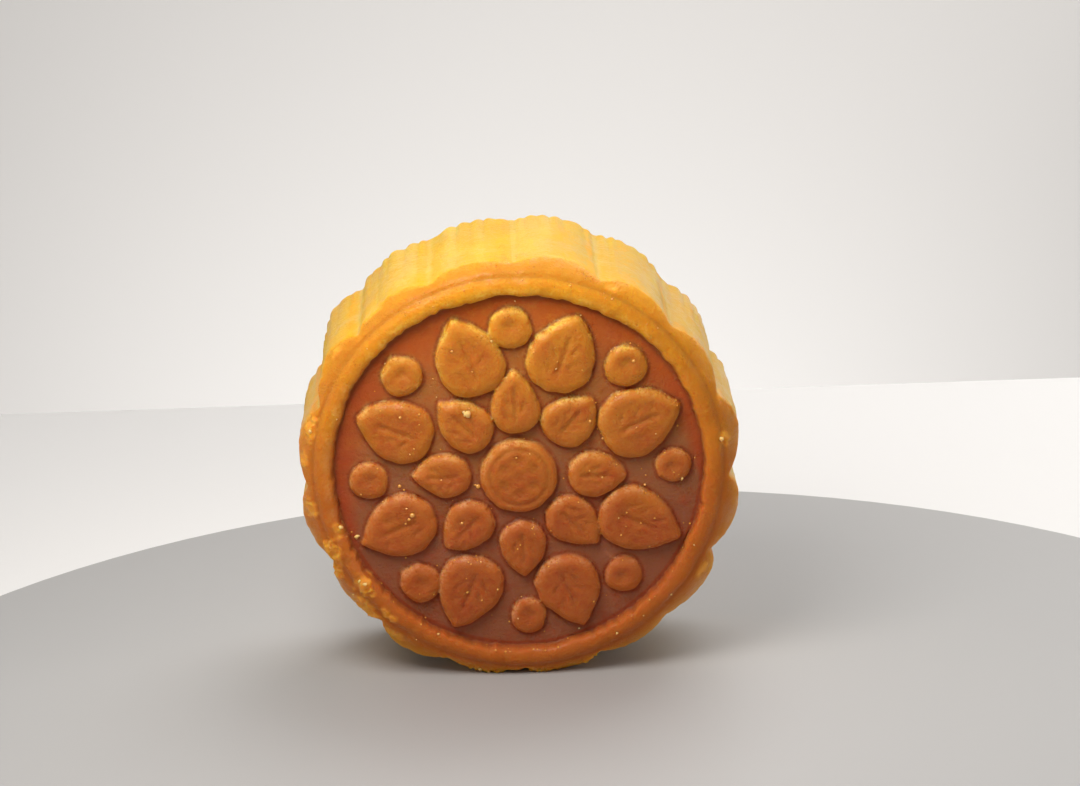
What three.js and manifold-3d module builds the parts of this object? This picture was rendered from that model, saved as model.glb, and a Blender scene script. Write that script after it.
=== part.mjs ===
// A baked mooncake of about 125 g, standing on its edge. Millimetres, +Z up, one solid.
//
// Its patterned face looks towards -Y. The cake was baked lying on its back, which spread a little, so
// the side tapers. Standing on that side it leans forward, on small flats pressed into its two lowest
// lobes. The origin is on the floor, below the middle of the cake.
//
// The cake is drawn with its axis along +Y and the top of the ring at depth 0. Angles round it count
// clockwise from the top, as seen from the front.
import * as THREE from 'three';
import { mergeVertices } from 'three/addons/utils/BufferGeometryUtils.js';
import Module from 'manifold-3d';

const wasm = await Module();
wasm.setup();

// Outline and thickness
const LOBES = 16;
const NOTCH_RADIUS = 32.4; // front outline, in the notch between two lobes, on average
const NARROWER_BELOW = 0.03; // share of its width that the outline loses from the middle down
const BACK_SPREAD = 1.055; // size of the back outline over the front one
const BACK_NARROWING = 0.015; // share of its width that the back has lost again
const THICKNESS = 28;
const BACK_ROUNDING = 1.3;
const PRESSED_FLAT = 0.25; // depth pressed off the two lowest lobes

// How uneven the lobes came out. Notches and lobes are numbered clockwise from the top one. Each notch
// has a radius over the average and has crept round by some degrees, and each lobe rises by a height
// over the line between its notches.
const NOTCH_RISES = [0.5, 0.2, 0, -0.1, -0.3, 0.1, 0.8, -0.5, -0.5, 0.3, 0.1, -0.2, 0, -0.6, -0.1, 0.2];
const NOTCH_TURNS = [0.2, 0, 0.2, 1, 1.9, 1.6, 1.4, 0, 0, 0.7, -0.7, -0.9, -0.9, 0, 0, 0.7];
const LOBE_HEIGHTS = [1.2, 1.2, 1.3, 2, 2.7, 2.9, 2.1, 1.8, 1.4, 3, 1.8, 1.8, 1.6, 1.9, 1.2, 0.9];

// Shallow creases that run along the side, on the middle of two lobes
const CREASE_ANGLES = [-60, -37.5];
const CREASE_DEPTH = 0.45;
const CREASE_HALF_ANGLE = 3.75;

// The front, from the recessed field through the raised ring to the sloping edge
const FIELD_RADIUS = 28.45;
const FIELD_DEPTH = 2;
const RING_INNER = 28.7;
const RING_OUTER = 31.35;
const RING_ROUNDING = 0.5;
const GROOVE_RADIUS = 31.7;
const GROOVE_DEPTH = 0.8;
const EDGE_SLOPE = 0.9;
const EDGE_CURVE = 0.08; // how fast the edge's slope grows outwards, per mm

// The relief on the field: a lotus seed pod, two rounds of petals, and seeds between the outer petals
const PETALS = 8;
const INNER_PETAL = { start: 6.9, length: 10.2, width: 7.7, height: 1.6 };
const OUTER_PETAL = { start: 14, length: 13.4, width: 10.4, height: 1.65 };
const VEIN = { width: 0.9, depth: 0.5, share: 0.56 }; // share of the petal's length
const POD_RADIUS = 5.9;
const POD_HEIGHT = 1.8;
const POD_SEEDS = 6;
const POD_SEED_CIRCLE = 2.7;
const POD_DIMPLE = { radius: 0.8, depth: 0.55 };
const SEED_RADIUS = 3.1;
const SEED_CIRCLE = 23.4;
const SEED_HEIGHT = 1.3;
const SUNK = 0.6; // how deep the relief's solids reach into the field

// How uneven the relief is
const TURN_UNEVEN = THREE.MathUtils.degToRad(2.2);
const SIZE_UNEVEN = 0.05;
const HEIGHT_UNEVEN = 0.08;
const PLACE_UNEVEN = 0.35;

// Fineness
const COLUMNS_PER_LOBE = 6;
const PETAL_SIDE_STEPS = 8;
const SEED_STEPS = 14;
const POD_STEPS = 24;

const PITCH = (2 * Math.PI) / LOBES;
const COLUMNS = LOBES * COLUMNS_PER_LOBE;
const ROUND_OFF = 1e-9; // keeps a notch's column on the near side of its lobe
const CRUST = new THREE.MeshStandardMaterial({ color: 0xd58a34, roughness: 0.45, metalness: 0 });

// A repeatable number from -1 to 1 for the piece numbered index.
function uneven(index, salt) {
  const wave = Math.sin(12.9898 * (index + 1) + 78.233 * salt) * 43758.5453;
  return 2 * (wave - Math.floor(wave)) - 1;
}

// A point of the cake: x to the right, z up, and its depth behind the top of the ring.
function inCake(x, z, depth) {
  const narrowing = (NARROWER_BELOW * z) / NOTCH_RADIUS - (BACK_NARROWING * depth) / THICKNESS;
  return new THREE.Vector3(x * (1 + narrowing), depth, z);
}

// A point of the round part. The notches have crept round, and the field's rim hasn't.
function roundCake(radius, angle, depth) {
  const share = THREE.MathUtils.clamp((radius - FIELD_RADIUS) / (NOTCH_RADIUS - FIELD_RADIUS), 0, 1);
  const turned = angle + share * THREE.MathUtils.degToRad(betweenNotches(NOTCH_TURNS, angle));
  return inCake(radius * Math.sin(turned), radius * Math.cos(turned), depth);
}

// The value at an angle, from one value for each notch.
function betweenNotches(values, angle) {
  const notch = Math.floor(angle / PITCH);
  return THREE.MathUtils.lerp(values[notch % LOBES], values[(notch + 1) % LOBES], angle / PITCH - notch);
}

// Each lobe is an arc that ends in both notches. This is its radius at an angle off its middle line.
function arcRadius(height, off) {
  const crest = NOTCH_RADIUS + height;
  const centre = (crest ** 2 - NOTCH_RADIUS ** 2) / (2 * (crest - NOTCH_RADIUS * Math.cos(PITCH / 2)));
  return centre * Math.cos(off) + Math.sqrt((crest - centre) ** 2 - (centre * Math.sin(off)) ** 2);
}

function creaseDepth(angle) {
  let depth = 0;
  for (const degrees of CREASE_ANGLES) {
    const away = Math.abs(THREE.MathUtils.radToDeg(angle) - THREE.MathUtils.euclideanModulo(degrees, 360));
    depth += CREASE_DEPTH * Math.max(0, 1 - away / CREASE_HALF_ANGLE);
  }
  return depth;
}

function frontOutline(angle) {
  const lobe = Math.floor(angle / PITCH);
  const arc = arcRadius(LOBE_HEIGHTS[lobe % LOBES], angle - (lobe + 0.5) * PITCH);
  return arc + betweenNotches(NOTCH_RISES, angle) - creaseDepth(angle);
}

function sideRadius(angle, depth) {
  return frontOutline(angle) * (1 + ((BACK_SPREAD - 1) * depth) / THICKNESS);
}

function edgeDepth(radius) {
  const out = radius - GROOVE_RADIUS;
  return GROOVE_DEPTH + EDGE_SLOPE * out + EDGE_CURVE * out ** 2;
}

// Where the sloping edge meets the side.
function cornerRadius(angle) {
  let radius = frontOutline(angle);
  for (let pass = 0; pass < 5; pass += 1) {
    radius = sideRadius(angle, edgeDepth(radius));
  }
  return radius;
}

// Radius and depth down one column of the crust, from the field's rim over the ring and the side.
function crustColumn(angle) {
  const ringMiddle = (RING_INNER + RING_OUTER) / 2;
  const column = [
    [FIELD_RADIUS, FIELD_DEPTH],
    [RING_INNER, RING_ROUNDING],
    [RING_INNER + RING_ROUNDING, 0.08],
    [ringMiddle, 0],
    [RING_OUTER - RING_ROUNDING, 0.1],
    [RING_OUTER, RING_ROUNDING],
    [GROOVE_RADIUS, GROOVE_DEPTH],
  ];
  const corner = cornerRadius(angle);
  for (const share of [0.35, 0.7, 1]) {
    const radius = GROOVE_RADIUS + share * (corner - GROOVE_RADIUS);
    column.push([radius, edgeDepth(radius)]);
  }
  for (const turn of [0, Math.PI / 4, Math.PI / 2]) {
    const depth = THICKNESS - BACK_ROUNDING * (1 - Math.sin(turn));
    column.push([sideRadius(angle, depth) - BACK_ROUNDING * (1 - Math.cos(turn)), depth]);
  }
  return column;
}

// A solid from a geometry whose surface is closed.
function solidOf(geometry) {
  geometry.deleteAttribute('normal');
  geometry.deleteAttribute('uv');
  const merged = mergeVertices(geometry, 1e-5);
  return new wasm.Manifold(
    new wasm.Mesh({
      numProp: 3,
      vertProperties: new Float32Array(merged.attributes.position.array),
      triVerts: new Uint32Array(merged.index.array),
    }),
  );
}

function geometryOf(solid) {
  const mesh = solid.getMesh();
  const geometry = new THREE.BufferGeometry();
  geometry.setAttribute('position', new THREE.BufferAttribute(mesh.vertProperties, mesh.numProp));
  geometry.setIndex(new THREE.BufferAttribute(mesh.triVerts, 1));
  return geometry;
}

// Closed skin over loops of points that run clockwise seen from the front. The first loop is closed
// by a fan round the point before, and the last by a fan round the point after.
function skinned(before, loops, after) {
  const count = loops[0].length;
  const points = [before, ...loops.flat(), after];
  const triangles = [];
  for (let i = 0; i < count; i += 1) {
    const next = (i + 1) % count;
    triangles.push(0, 1 + next, 1 + i);
    for (let row = 1; row < loops.length; row += 1) {
      const inner = 1 + (row - 1) * count;
      const outer = inner + count;
      triangles.push(inner + i, outer + next, outer + i);
      triangles.push(inner + i, inner + next, outer + next);
    }
    const last = points.length - 1 - count;
    triangles.push(points.length - 1, last + i, last + next);
  }
  const geometry = new THREE.BufferGeometry().setFromPoints(points);
  geometry.setIndex(triangles);
  return solidOf(geometry);
}

// The angles of the crust's columns. A column lies in each notch.
function columnAngles() {
  return Array.from({ length: COLUMNS }, (_, i) => (i * PITCH) / COLUMNS_PER_LOBE + ROUND_OFF);
}

function crust() {
  const columns = columnAngles().map((angle) =>
    crustColumn(angle).map(([radius, depth]) => roundCake(radius, angle, depth)),
  );
  const loops = columns[0].map((_, row) => columns.map((column) => column[row]));
  return skinned(inCake(0, 0, FIELD_DEPTH), loops, inCake(0, 0, THICKNESS));
}

// The place on the face of a point that lies out along a direction and across it.
function onField(angle, out, across, height) {
  const x = out * Math.sin(angle) + across * Math.cos(angle);
  const z = out * Math.cos(angle) - across * Math.sin(angle);
  return inCake(x, z, FIELD_DEPTH - height);
}

// A raised form over an outline. Each level is the outline shrunk to a share of its size, at a height.
function mound(angle, centre, outline, levels, topHeight) {
  const loops = levels.map(([share, height]) =>
    outline.map((point) => onField(angle, centre + share * point.x, share * point.y, height)),
  );
  const foot = onField(angle, centre, 0, -SUNK);
  return skinned(onField(angle, centre, 0, topHeight), loops.reverse(), foot);
}

function roundOutline(radius, steps) {
  const circle = new THREE.Shape().absarc(0, 0, radius, 0, 2 * Math.PI, false);
  return circle.getPoints(steps / 2).slice(0, steps);
}

// A petal's outline about its own middle: a round foot and a pointed tip, out along x.
function petalOutline(length, width) {
  const shape = new THREE.Shape();
  const foot = -length / 2;
  shape.moveTo(foot, 0);
  shape.bezierCurveTo(foot, 0.64 * width, foot + 0.62 * length, 0.7 * width, foot + length, 0);
  shape.bezierCurveTo(foot + 0.62 * length, -0.7 * width, foot, -0.64 * width, foot, 0);
  const points = shape.getPoints(PETAL_SIDE_STEPS).slice(0, 2 * PETAL_SIDE_STEPS);
  return points.reverse();
}

// A long dent with pointed ends, to be cut out of a petal's back.
function vein(angle, centre, length, height) {
  const geometry = new THREE.OctahedronGeometry(1);
  const points = [];
  for (const corner of cornersOf(geometry)) {
    const across = (corner.x * VEIN.width) / 2;
    points.push(onField(angle, centre + corner.z * length, across, height - corner.y * VEIN.depth));
  }
  return solidOf(geometry.setFromPoints(points));
}

function cornersOf(geometry) {
  const corners = [];
  for (let i = 0; i < geometry.attributes.position.count; i += 1) {
    corners.push(new THREE.Vector3().fromBufferAttribute(geometry.attributes.position, i));
  }
  return corners;
}

// One round of petals. Each petal is uneven in its direction, place, size and height.
function petals(kind, firstAngle, salt) {
  const bodies = [];
  const veins = [];
  for (let i = 0; i < PETALS; i += 1) {
    const angle = firstAngle + (i * 2 * Math.PI) / PETALS + TURN_UNEVEN * uneven(i, salt);
    const length = kind.length * (1 + SIZE_UNEVEN * uneven(i, salt + 1));
    const width = kind.width * (1 + SIZE_UNEVEN * uneven(i, salt + 2));
    const height = kind.height * (1 + HEIGHT_UNEVEN * uneven(i, salt + 3));
    const centre = kind.start + kind.length / 2 + PLACE_UNEVEN * uneven(i, salt + 4);
    const levels = [[1, -SUNK], [1, 0], [0.96, 0.6 * height], [0.84, 0.93 * height]];
    bodies.push(mound(angle, centre, petalOutline(length, width), levels, height));
    veins.push(vein(angle, centre, (length * VEIN.share) / 2, height));
  }
  return { bodies, veins };
}

function seeds(firstAngle) {
  const bodies = [];
  for (let i = 0; i < PETALS; i += 1) {
    const angle = firstAngle + (i * 2 * Math.PI) / PETALS + TURN_UNEVEN * uneven(i, 20);
    const radius = SEED_RADIUS * (1 + 2 * SIZE_UNEVEN * uneven(i, 21));
    const height = SEED_HEIGHT * (1 + HEIGHT_UNEVEN * uneven(i, 22));
    const centre = SEED_CIRCLE + PLACE_UNEVEN * uneven(i, 23);
    const levels = [[1, -SUNK], [1, 0], [0.95, 0.6 * height], [0.72, 0.95 * height]];
    bodies.push(mound(angle, centre, roundOutline(radius, SEED_STEPS), levels, height));
  }
  return bodies;
}

// The pod has a groove inside its rim, and a dimple for each seed.
function seedPod() {
  const rim = POD_HEIGHT;
  const levels = [[1, -SUNK], [1, 0], [0.97, 0.65 * rim], [0.89, rim], [0.8, rim - 0.05]];
  levels.push([0.75, rim - 0.45], [0.69, rim - 0.1]);
  let pod = mound(0, 0, roundOutline(POD_RADIUS, POD_STEPS), levels, rim);
  for (let i = 0; i <= POD_SEEDS; i += 1) {
    const angle = (i * 2 * Math.PI) / POD_SEEDS;
    const centre = i === POD_SEEDS ? 0 : POD_SEED_CIRCLE;
    pod = pod.subtract(dimple(angle, centre, rim));
  }
  return pod;
}

function dimple(angle, centre, height) {
  const geometry = new THREE.OctahedronGeometry(1, 1);
  const { radius, depth } = POD_DIMPLE;
  const points = cornersOf(geometry).map((corner) =>
    onField(angle, centre + radius * corner.z, radius * corner.x, height - depth * corner.y),
  );
  return solidOf(geometry.setFromPoints(points));
}

function cake() {
  const halfTurn = Math.PI / PETALS;
  const inner = petals(INNER_PETAL, 0, 5);
  const outer = petals(OUTER_PETAL, halfTurn, 11);
  let solid = crust();
  for (const body of [...inner.bodies, ...outer.bodies, ...seeds(0), seedPod()]) {
    solid = solid.add(body);
  }
  for (const dent of [...inner.veins, ...outer.veins]) {
    solid = solid.subtract(dent);
  }
  return solid;
}

// Leans the cake so that the crests of its two lowest lobes are level, sets it on the floor, and
// presses those lobes flat there.
function stood(solid) {
  const reachDown = Math.max(...columnAngles().map((angle) => -frontOutline(angle) * Math.cos(angle)));
  const lean = Math.atan(((BACK_SPREAD - 1) * reachDown) / THICKNESS);
  const geometry = geometryOf(solid).rotateX(lean);
  geometry.computeBoundingBox();
  const { min, max } = geometry.boundingBox;
  geometry.translate(0, -(min.y + max.y) / 2, -min.z - PRESSED_FLAT);
  const below = new THREE.BoxGeometry(80, 80, 10).translate(0, 0, -5);
  return solidOf(geometry).subtract(solidOf(below));
}

const group = new THREE.Group();
const geometry = geometryOf(stood(cake()));
geometry.computeVertexNormals();
const mooncake = new THREE.Mesh(geometry, CRUST);
mooncake.name = 'mooncake';
group.add(mooncake);

export default group;
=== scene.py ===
# %% [markdown]
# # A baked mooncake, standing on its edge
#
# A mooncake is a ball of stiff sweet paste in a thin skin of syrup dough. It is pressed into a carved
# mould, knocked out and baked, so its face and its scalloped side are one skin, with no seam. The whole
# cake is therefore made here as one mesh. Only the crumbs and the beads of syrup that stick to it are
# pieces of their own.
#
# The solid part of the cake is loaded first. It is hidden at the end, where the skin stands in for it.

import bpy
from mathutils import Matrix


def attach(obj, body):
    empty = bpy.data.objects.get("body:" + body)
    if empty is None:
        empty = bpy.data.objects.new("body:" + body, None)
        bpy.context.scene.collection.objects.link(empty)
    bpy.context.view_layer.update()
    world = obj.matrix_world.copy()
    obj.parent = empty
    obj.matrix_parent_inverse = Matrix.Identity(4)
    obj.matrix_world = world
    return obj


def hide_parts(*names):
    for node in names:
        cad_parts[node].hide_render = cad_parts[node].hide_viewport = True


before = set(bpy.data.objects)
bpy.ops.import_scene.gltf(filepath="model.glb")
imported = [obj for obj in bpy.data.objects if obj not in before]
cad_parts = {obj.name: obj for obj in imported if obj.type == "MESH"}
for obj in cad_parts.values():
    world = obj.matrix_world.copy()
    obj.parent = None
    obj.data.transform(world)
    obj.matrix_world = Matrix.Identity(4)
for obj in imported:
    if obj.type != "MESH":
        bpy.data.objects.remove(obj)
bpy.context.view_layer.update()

# %% Libraries
import itertools
import math

import bmesh
import bpy
import numpy as np
from mathutils import Matrix, Vector
from mathutils.bvhtree import BVHTree

# %% [markdown]
# ## The mould's sizes
#
# A mould maker gives a cake a few driving sizes, and the rest follows from them. They are written in
# millimetres, and the finished points are turned into metres once, at the very end. The cake is first
# drawn with its axis along +Y, the top of the raised ring at depth 0, and angles that count clockwise
# from the top, as seen from the front. A radius, an angle and a depth are the easiest way to think of a
# thing that comes out of a round mould.

# %% Outline, thickness and front edge
METRE = 0.001  # metres in one millimetre

LOBES = 16
PITCH = 2 * math.pi / LOBES
NOTCH_RADIUS = 32.4
NARROWER_BELOW = 0.03
BACK_SPREAD = 1.055
BACK_NARROWING = 0.015
THICKNESS = 28.0
BACK_ROUNDING = 1.3
PRESSED_FLAT = 0.25

FIELD_RADIUS = 28.45
FIELD_DEPTH = 2.0
GROOVE_RADIUS = 31.7
GROOVE_DEPTH = 0.8
EDGE_SLOPE = 0.9
EDGE_CURVE = 0.08

# How uneven the lobes came out, clockwise from the top one: each notch's radius over the average, the
# degrees by which it has crept round, and each lobe's height over the line between its notches
NOTCH_RISES = [0.5, 0.2, 0, -0.1, -0.3, 0.1, 0.8, -0.5, -0.5, 0.3, 0.1, -0.2, 0, -0.6, -0.1, 0.2]
NOTCH_TURNS = [0.2, 0, 0.2, 1, 1.9, 1.6, 1.4, 0, 0, 0.7, -0.7, -0.9, -0.9, 0, 0, 0.7]
LOBE_HEIGHTS = [1.2, 1.2, 1.3, 2, 2.7, 2.9, 2.1, 1.8, 1.4, 3, 1.8, 1.8, 1.6, 1.9, 1.2, 0.9]

print("lobes:", LOBES, "each", round(math.degrees(PITCH), 2), "degrees")


# %% Repeatable unevenness, and soft steps and bumps
def uneven(index, salt):
    """A repeatable number from -1 to 1 for the piece numbered index."""
    wave = math.sin(12.9898 * (index + 1) + 78.233 * salt) * 43758.5453
    return 2 * (wave - math.floor(wave)) - 1


def lumps(points, size, seed):
    """Soft random bumps from -1 to 1, about as wide as size, at an array of points."""
    cells = 32
    lattice = np.random.default_rng(seed).uniform(-1, 1, (cells, cells, cells))
    low = np.floor(points / size).astype(int)
    share = points / size - low
    share = share * share * (3 - 2 * share)
    total = np.zeros(len(points))
    for corner in itertools.product((0, 1), repeat=3):
        weight = np.where(corner, share, 1 - share).prod(axis=1)
        i, j, k = ((low + corner) % cells).T
        total += weight * lattice[i, j, k]
    return total


def waves(points, layers):
    """Layers of lumps on top of each other. A layer is a size, a height and a seed."""
    return sum(height * lumps(points, size, seed) for size, height, seed in layers)


def smooth_step(value, low, high):
    """0 below low, 1 above high, and a smooth rise between."""
    share = np.clip((value - low) / (high - low), 0, 1)
    return share * share * (3 - 2 * share)


def bell(distance, width, height=1.0):
    """A soft bump or groove, as high as height where the distance is 0."""
    return height * np.exp(-((distance / width) ** 2))


# %% [markdown]
# ## The scalloped outline
#
# The side of the mould is cut with a gouge, so each lobe is an arc of a circle, and two neighbours meet
# in a sharp notch. A sine wave would be easier, but it is round in the notch as well, and that makes a
# moulded cake look false at once. Each arc is worked out from its crest and the notches at its ends.
# Dough never quite fills a notch, so a little is added there, and two lobes on the upper left carry a
# crease where the dough folded.

# %% The outline of the front
CREASE_ANGLES = [-60, -37.5]
CREASE_DEPTH = 0.45
CREASE_HALF_ANGLE = 3.75
NOTCH_FILL = (0.3, 0.13)  # width and height


def between_notches(values, angle):
    """The value at each angle, from one value for each notch."""
    notches = np.arange(LOBES) * 360 / LOBES
    return np.interp(np.degrees(angle), notches, values, period=360)


def turn_from(angle, degrees):
    """How far an angle lies from one in degrees, the shorter way round."""
    return (angle - math.radians(degrees) + math.pi) % (2 * math.pi) - math.pi


def from_notch(angle):
    """Distance along the side from the nearest notch."""
    return NOTCH_RADIUS * np.abs((angle + PITCH / 2) % PITCH - PITCH / 2)


def arc_radius(height, off):
    """Radius of a lobe's arc, which ends in both notches, at an angle off its middle line."""
    crest = NOTCH_RADIUS + height
    centre = (crest**2 - NOTCH_RADIUS**2) / (2 * (crest - NOTCH_RADIUS * math.cos(PITCH / 2)))
    return centre * np.cos(off) + np.sqrt((crest - centre) ** 2 - (centre * np.sin(off)) ** 2)


def front_outline(angle):
    lobe = np.floor(angle / PITCH)
    heights = np.take(LOBE_HEIGHTS, lobe.astype(int), mode="wrap")
    outline = arc_radius(heights, angle - (lobe + 0.5) * PITCH) + between_notches(NOTCH_RISES, angle)
    for degrees in CREASE_ANGLES:
        away = np.abs(np.degrees(turn_from(angle, degrees)))
        outline -= CREASE_DEPTH * np.clip(1 - away / CREASE_HALF_ANGLE, 0, 1)
    return outline + bell(from_notch(angle), *NOTCH_FILL)


def side_radius(angle, depth):
    return front_outline(angle) * (1 + (BACK_SPREAD - 1) * depth / THICKNESS)


def edge_depth(radius):
    out = radius - GROOVE_RADIUS
    return GROOVE_DEPTH + EDGE_SLOPE * out + EDGE_CURVE * out**2


def corner_radius(angle):
    """Where the sloping edge meets the side, found by going to and fro between the two."""
    radius = front_outline(angle)
    for _ in range(5):
        radius = side_radius(angle, edge_depth(radius))
    return radius


# %% From radius, angle and depth to points
def in_cake(x, z, depth):
    narrowed = x * (1 + NARROWER_BELOW * z / NOTCH_RADIUS - BACK_NARROWING * depth / THICKNESS)
    return np.stack([narrowed, depth * np.ones_like(narrowed), z], axis=-1)


def crept(radius, angle, depth, share):
    """A point whose notch has crept round, by a share of that notch's turn."""
    turned = angle + share * np.radians(between_notches(NOTCH_TURNS, angle))
    return in_cake(radius * np.sin(turned), radius * np.cos(turned), depth)


def round_cake(radius, angle, depth):
    """A point of the round part. The notches have crept round, and the field's rim hasn't."""
    share = np.clip((radius - FIELD_RADIUS) / (NOTCH_RADIUS - FIELD_RADIUS), 0, 1)
    return crept(radius, angle, depth, share)


# %% [markdown]
# ## The relief on the face
#
# The mould's floor is carved with a lotus: a seed pod in the middle, two rounds of petals and a seed
# between the outer petals. It could be sculpted by hand or made as separate solids that are joined, but
# a mould leaves a surface with no undercuts, so one height over every point of the face says everything.
# The height comes from the distance to the outline of the nearest form: a steep wall, a round shoulder
# and a nearly flat back, as pressed dough has.

# %% The forms of the lotus
PETALS = 8
INNER_PETAL = {"start": 6.9, "length": 10.2, "width": 7.7, "height": 1.6}
OUTER_PETAL = {"start": 14.0, "length": 13.4, "width": 10.4, "height": 1.65}
SEED = {"circle": 23.4, "radius": 3.1, "height": 1.3}
POD = {"angle": 0.0, "centre": 0.0, "height": 1.8, "reach": 5.9}
TURN_UNEVEN = math.radians(2.2)
SIZE_UNEVEN = 0.05
HEIGHT_UNEVEN = 0.08
PLACE_UNEVEN = 0.35
OUTLINE_STEPS = 36
FOOT_HANDLE = 0.64  # how far the curve swings out at a petal's foot, as a share of its width
TIP_HANDLE = (0.62, 0.7)  # and before its tip, as shares of its length and width
BLUNT = 0.7  # rounding of a petal's corners
BLUNT_TIP = 2.6  # a sharp tip loses this many times as much


def bezier(points):
    """Points along a cubic curve, as a draughtsman's spline would draw it."""
    t = np.linspace(0, 1, OUTLINE_STEPS)[:, None]
    a, b, c, d = (np.array(point, dtype=float) for point in points)
    return (1 - t) ** 3 * a + 3 * (1 - t) ** 2 * t * b + 3 * (1 - t) * t**2 * c + t**3 * d


def petal_side(length, width):
    """One side of a petal about its own middle: a round foot and a pointed tip."""
    foot = -length / 2
    before_tip = (foot + TIP_HANDLE[0] * length, TIP_HANDLE[1] * width)
    return bezier([(foot, 0), (foot, FOOT_HANDLE * width), before_tip, (foot + length, 0)])


def varied(value, share, index, salt):
    return value * (1 + share * uneven(index, salt))


def petals(kind, first_angle, salt):
    """One round of petals. Each is uneven in its direction, place, size and height."""
    forms = []
    for i in range(PETALS):
        length = varied(kind["length"], SIZE_UNEVEN, i, salt + 1)
        width = varied(kind["width"], SIZE_UNEVEN, i, salt + 2)
        forms.append({
            "angle": first_angle + i * 2 * math.pi / PETALS + TURN_UNEVEN * uneven(i, salt),
            "centre": kind["start"] + kind["length"] / 2 + PLACE_UNEVEN * uneven(i, salt + 4),
            "height": varied(kind["height"], HEIGHT_UNEVEN, i, salt + 3),
            "length": length,
            "side": petal_side(length - BLUNT_TIP * BLUNT, width - 2 * BLUNT),
            "reach": length / 2,
        })
    return forms


def seeds(salt):
    return [{
        "angle": i * 2 * math.pi / PETALS + TURN_UNEVEN * uneven(i, salt),
        "centre": SEED["circle"] + PLACE_UNEVEN * uneven(i, salt + 3),
        "height": varied(SEED["height"], HEIGHT_UNEVEN, i, salt + 2),
        "reach": varied(SEED["radius"], 2 * SIZE_UNEVEN, i, salt + 1),
    } for i in range(PETALS)]


PETAL_FORMS = petals(INNER_PETAL, 0, 5) + petals(OUTER_PETAL, math.pi / PETALS, 11)
SEED_FORMS = seeds(20)
print("forms on the face:", len(PETAL_FORMS), "petals,", len(SEED_FORMS), "seeds and the pod")


# %% How far inside a form a point lies
TINY = 1e-9  # keeps a distance of 0 from dividing


def round_inside(along, across, form):
    """Distance inside a round form, and the way straight in."""
    away = np.hypot(along, across) + TINY
    return form["reach"] - away, np.stack([-along / away, -across / away], axis=1)


def petal_inside(along, across, form):
    """Distance inside a petal's outline, below zero outside it, and the way straight in.

    The outline is measured from a smaller petal, which rounds its corners."""
    side = form["side"]
    outline = np.concatenate([side, side[-2:0:-1] * (1, -1)])
    leg = np.roll(outline, -1, axis=0) - outline
    offset = np.stack([along, across], axis=1)[:, None] - outline
    share = np.clip((offset * leg).sum(axis=2) / (leg**2).sum(axis=1), 0, 1)
    away = offset - share[..., None] * leg
    distance = np.linalg.norm(away, axis=2)
    nearest = distance.argmin(axis=1)
    every = np.arange(len(along))
    half_width = np.interp(along, side[:, 0], side[:, 1], left=-1, right=-1)
    sign = np.where(np.abs(across) < half_width, 1.0, -1.0)
    gap = distance[every, nearest]
    return sign * gap + BLUNT, away[every, nearest] * (sign / (gap + TINY))[:, None]


# %% The shape of a pressed form from its outline in
WALL_RUN = 0.3  # the wall climbs part of the height over this distance
WALL_SHARE = 0.48
PILLOW_RUN = 1.7  # and the rest of it over this one
PILLOW_CURVE = 2.3


def pressed(inside, height):
    """Height of a pressed form at a distance inside its outline: a steep wall, then a pillow."""
    wall = np.clip(inside / WALL_RUN, 0, 1)
    pillow = 1 - (1 - np.clip((inside - 0.5 * WALL_RUN) / PILLOW_RUN, 0, 1)) ** PILLOW_CURVE
    return height * (WALL_SHARE * wall + (1 - WALL_SHARE) * pillow)


# %% [markdown]
# ## Veins, dimples and seed tips
#
# Fine lines give the petals their scale. On a real mould each is one stroke of a narrow gouge, deepest
# in the middle of the stroke and fading at its ends, and so is each shallow groove here. They could be
# painted as bump in the material, but then they would vanish from the mesh and from any view along the
# face, so they are cut into the height.

# %% Fine carving
# Width and depth of each mark
VEIN = (0.48, 0.3)
STROKE = (0.36, 0.24)
POD_GROOVE = (0.4, 0.34)
POD_DIMPLE = (0.68, 0.42)
SEED_TIP = (0.33, 0.24)
SEED_DIMPLE = (1.0, 0.36)

VEIN_BEND = 3.2
VEIN_FADES = (0.16, 0.3)  # between these shares of the petal's length from its middle
STROKES = 5  # short strokes beside the middle line of a petal
STROKE_LENGTH = 1.1
STROKE_CURVE = 0.12
STROKE_SLANT = math.radians(38)
FIRST_STROKE, NEXT_STROKE, STROKE_OUT, STROKE_UNEVEN = -0.17, 0.085, 0.13, 0.03  # shares of the length
POD_GROOVE_RADIUS = 4.45
POD_SEEDS = 6
POD_SEED_CIRCLE = 2.7
SEED_DIMPLE_OFF = 0.5


def away_from(along, across, out, turn):
    """Distance from a place that lies out by a radius, in the direction of a turn."""
    return np.hypot(along - out * math.cos(turn), across - out * math.sin(turn))


def stroke(along, across, place, slant):
    """Depth of one short slanted stroke."""
    run = (along - place[0]) * math.cos(slant) + (across - place[1]) * math.sin(slant)
    off = (across - place[1]) * math.cos(slant) - (along - place[0]) * math.sin(slant)
    return bell(off + STROKE_CURVE * run**2, *STROKE) * bell(run, STROKE_LENGTH)


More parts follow.
